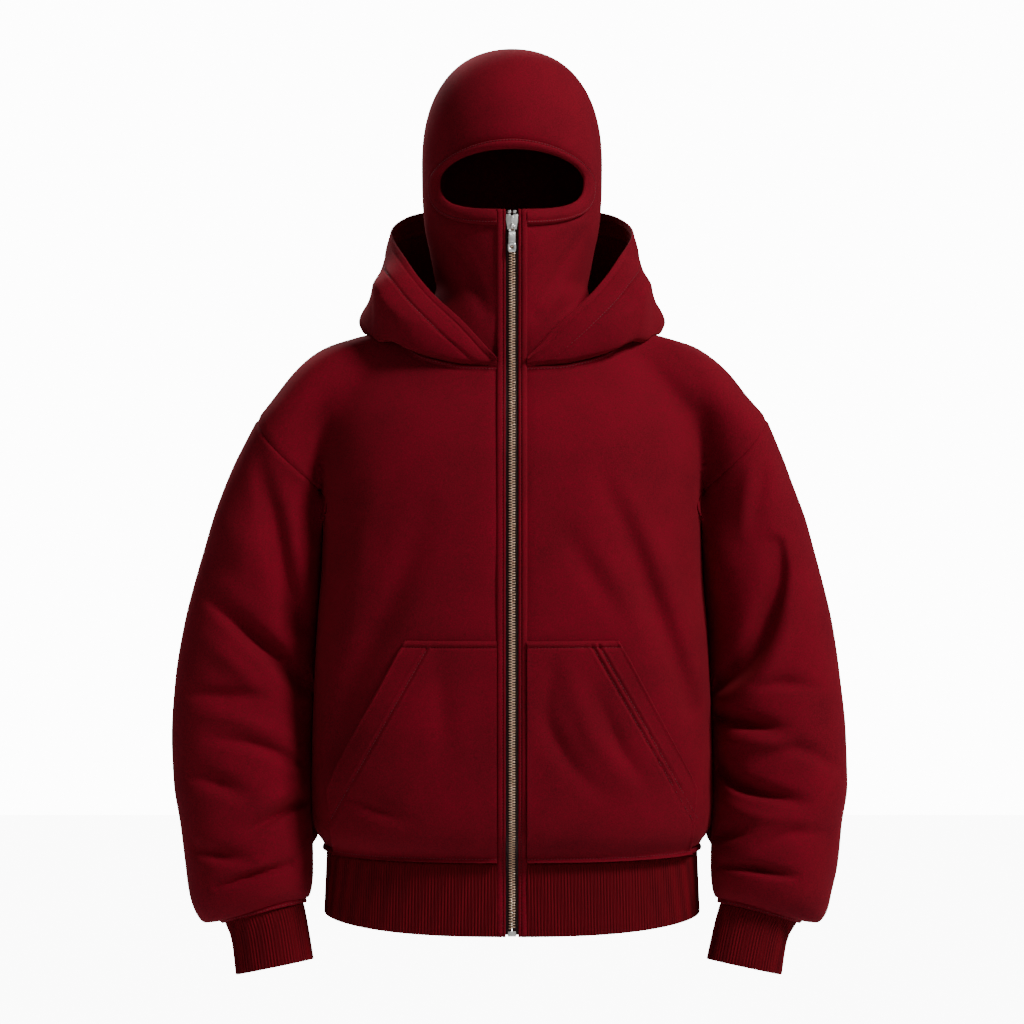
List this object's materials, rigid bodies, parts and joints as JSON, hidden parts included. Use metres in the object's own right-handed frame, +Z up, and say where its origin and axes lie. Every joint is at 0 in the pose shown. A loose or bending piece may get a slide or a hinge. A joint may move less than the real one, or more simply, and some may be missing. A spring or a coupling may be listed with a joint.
{
  "type": "zip up hoodie",
  "caption": "Zip up fleece hoodie, filled out as worn, with a face mask that has an eye opening, a hood lying back as a cowl, kangaroo pockets and ribbed cuffs and hem.",
  "frame": {"origin": "on the centre line between the wearer's shoulders, level with the base of the neck, where the shoulders hold the garment up", "axes": "+Z up, from hem to head; -Y towards the front; +X towards the wearer's left"},
  "size_m": [0.7358, 0.3507, 1.0081],
  "materials": {
    "fleece": "heavy brushed cotton fleece, matt, burgundy",
    "rib_knit": "cotton rib knit, matt, burgundy",
    "zip_tape": "woven polyester zip tape, dark burgundy",
    "zip_teeth": "pale brushed brass teeth",
    "zip_metal": "polished nickel"
  },
  "bodies": {
    "root": {"back": "fleece", "cuff_left": "rib_knit", "cuff_right": "rib_knit", "face_band": "fleece", "front_left": "fleece", "front_right": "fleece", "hem_rib": "rib_knit", "hood_left": "fleece", "hood_right": "fleece", "mask": "fleece", "placket_left": "fleece", "placket_right": "fleece", "pocket_left": "fleece", "pocket_right": "fleece", "sleeve_left": "fleece", "sleeve_right": "fleece", "zip_bottom_stop": "zip_metal", "zip_chain": "zip_teeth", "zip_slider": "zip_metal", "zip_tape_left": "zip_tape", "zip_tape_right": "zip_tape", "zip_top_stop_left": "zip_metal", "zip_top_stop_right": "zip_metal"},
    "pull": {"zip_pull": "zip_metal"}
  },
  "joints": [
    {"name": "pull_swing", "type": "hinge", "parent": "root", "child": "pull", "pos_m": [0, -0.1247, 0.099], "axis": [-1, 0, 0], "range_deg": [0, 170]}
  ]
}
